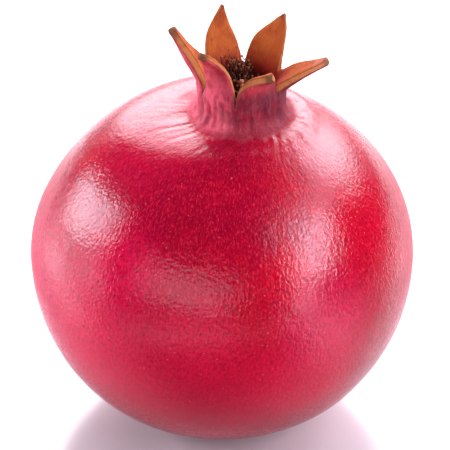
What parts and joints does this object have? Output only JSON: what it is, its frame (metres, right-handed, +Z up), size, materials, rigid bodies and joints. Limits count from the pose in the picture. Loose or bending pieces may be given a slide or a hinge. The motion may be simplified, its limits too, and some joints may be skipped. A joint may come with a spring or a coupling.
{
  "type": "pomegranate",
  "caption": "Whole ripe pomegranate standing on its stem end, with an open dried calyx crown, a tuft of dry stamens and a clipped stem.",
  "frame": {"origin": "under the middle of the fruit, on the surface that it stands on", "axes": "+Z up from the stem end to the calyx; -Y towards the side where the calyx has its short blunt lobe; the calyx stands a little to +X"},
  "size_m": [0.0935, 0.0937, 0.1039],
  "materials": {
    "rind": "glossy, finely pitted crimson skin",
    "stem": "dry bark and cut wood",
    "stamens": "dry matt brown",
    "style": "dry matt tan"
  },
  "bodies": {
    "root": {"fruit": "rind", "stem_stub": "stem", "stamens": "stamens", "style": "style"}
  },
  "joints": []
}
